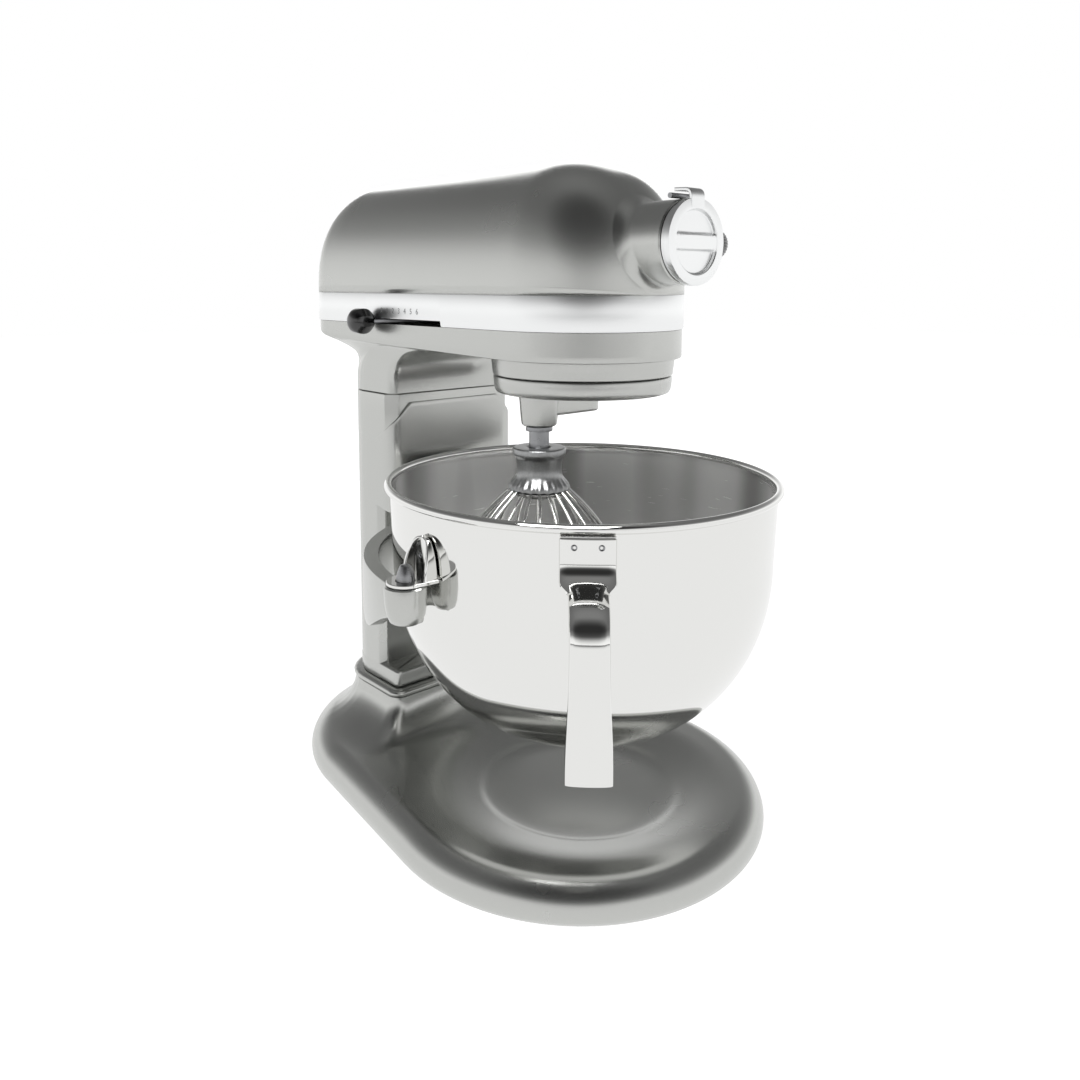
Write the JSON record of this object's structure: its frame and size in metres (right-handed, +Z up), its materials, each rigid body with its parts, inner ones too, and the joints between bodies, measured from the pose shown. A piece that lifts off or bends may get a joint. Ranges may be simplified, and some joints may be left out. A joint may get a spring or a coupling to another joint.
{
  "type": "stand mixer",
  "caption": "Bowl-lift stand mixer: cast base, column and motor head, planetary drive with wire whisk, steel bowl on a lifting yoke, speed lever and attachment hub.",
  "frame": {"origin": "on the surface the feet stand on, under the middle of the whole mixer's length and width", "axes": "+Z up, -Y the front with the attachment hub, +X to the right seen from the front"},
  "size_m": [0.29, 0.359, 0.419],
  "materials": {
    "cast_paint": "satin metallic paint on die-cast metal",
    "polished_steel": "mirror-polished stainless steel",
    "silver_trim": "fine brushed",
    "machined_steel": "turned and ground",
    "black_plastic": "glossy moulded",
    "rubber": "matte",
    "bronze": "machined bronze",
    "copper": "wound and turned copper",
    "circuit_board": "matte laminate"
  },
  "bodies": {
    "stand": {"base": "cast_paint", "foot_front": "rubber", "foot_mid_left": "rubber", "foot_mid_right": "rubber", "foot_rear_left": "rubber", "foot_rear_right": "rubber", "column": "cast_paint", "column_front_plate": "cast_paint", "column_screw_1": "machined_steel", "column_screw_2": "machined_steel", "column_screw_3": "machined_steel", "column_screw_4": "machined_steel", "motor_housing": "cast_paint", "end_cover": "cast_paint", "end_cover_screw": "machined_steel", "trim_band": "silver_trim", "gear_case": "cast_paint", "drip_ring": "cast_paint", "cord_gland": "rubber", "ring_gear": "machined_steel", "centre_bearing": "machined_steel", "front_bearing": "machined_steel", "rear_bearing": "machined_steel", "motor_field": "machined_steel", "bearing_bracket": "machined_steel", "brush_left": "black_plastic", "brush_right": "black_plastic", "control_board": "circuit_board", "attachment_hub": "cast_paint", "hub_hinge_pin": "machined_steel"},
    "planetary": {"planetary": "cast_paint", "centre_gear": "machined_steel", "centre_shaft": "machined_steel"},
    "beater": {"beater_shaft": "machined_steel", "beater_pinion": "machined_steel", "beater_pin": "machined_steel", "whisk_hub": "silver_trim", "whisk_wires": "polished_steel"},
    "worm_drive": {"worm_shaft": "machined_steel", "worm_gear": "bronze"},
    "armature": {"motor_shaft": "machined_steel", "armature_core": "copper", "commutator": "copper"},
    "hub_drive": {"hub_drive_gear": "machined_steel"},
    "hub_cover": {"hub_cover": "silver_trim"},
    "hub_knob": {"hub_knob": "black_plastic"},
    "speed_control": {"speed_lever": "machined_steel", "speed_knob": "black_plastic"},
    "bowl_support": {"bowl_support": "cast_paint", "locating_pin_left": "machined_steel", "locating_pin_right": "machined_steel", "bowl_spring": "machined_steel"},
    "lift_crank": {"lift_shaft": "machined_steel", "lift_lever": "silver_trim", "lift_knob": "black_plastic"},
    "bowl": {"bowl": "polished_steel", "bowl_handle": "polished_steel", "bowl_ear_left": "polished_steel", "bowl_ear_right": "polished_steel", "bowl_rear_pin": "machined_steel"}
  },
  "joints": [
    {"name": "bowl_lift", "type": "slide", "parent": "stand", "child": "bowl_support", "axis": [0, 0, 1], "range_m": [-0.036, 0]},
    {"name": "lift_lever_turn", "type": "hinge", "parent": "stand", "child": "lift_crank", "pos_m": [0, 0.1111, 0.14], "axis": [-1, 0, 0], "range_deg": [0, 150]},
    {"name": "bowl_off", "type": "slide", "parent": "bowl_support", "child": "bowl", "axis": [0, 0, 1], "range_m": [0, 0.0115]},
    {"name": "planetary_spin", "type": "hinge", "parent": "stand", "child": "planetary", "pos_m": [0, -0.0569, 0.29], "axis": [0, 0, 1], "continuous": true},
    {"name": "beater_spin", "type": "hinge", "parent": "planetary", "child": "beater", "pos_m": [-0.0358, -0.0569, 0.27], "axis": [0, 0, 1], "continuous": true},
    {"name": "worm_gear_spin", "type": "hinge", "parent": "stand", "child": "worm_drive", "pos_m": [-0.028, -0.01151, 0.34], "axis": [0, 0, 1], "continuous": true},
    {"name": "armature_spin", "type": "hinge", "parent": "stand", "child": "armature", "pos_m": [0, 0.0931, 0.365], "axis": [0, 1, 0], "continuous": true},
    {"name": "hub_drive_spin", "type": "hinge", "parent": "stand", "child": "hub_drive", "pos_m": [0, -0.1069, 0.3686], "axis": [0, 1, 0], "continuous": true},
    {"name": "hub_cover_hinge", "type": "hinge", "parent": "stand", "child": "hub_cover", "pos_m": [0, -0.1329, 0.3935], "axis": [-1, 0, 0], "range_deg": [0, 100]},
    {"name": "hub_knob_turn", "type": "hinge", "parent": "stand", "child": "hub_knob", "pos_m": [0.03, -0.1269, 0.3686], "axis": [1, 0, 0], "continuous": true},
    {"name": "speed_lever_swing", "type": "hinge", "parent": "stand", "child": "speed_control", "pos_m": [0.02, 0.0476, 0.3206], "axis": [0, 0, 1], "range_deg": [0, 44.5]}
  ],
  "couplings": [
    {"joint": "lift_lever_turn", "follows": "bowl_lift", "rad_per_m": -72.722},
    {"joint": "beater_spin", "follows": "planetary_spin", "ratio": -5},
    {"joint": "worm_gear_spin", "follows": "planetary_spin", "ratio": -3},
    {"joint": "armature_spin", "follows": "planetary_spin", "ratio": 60},
    {"joint": "hub_drive_spin", "follows": "planetary_spin", "ratio": -1.6667}
  ]
}
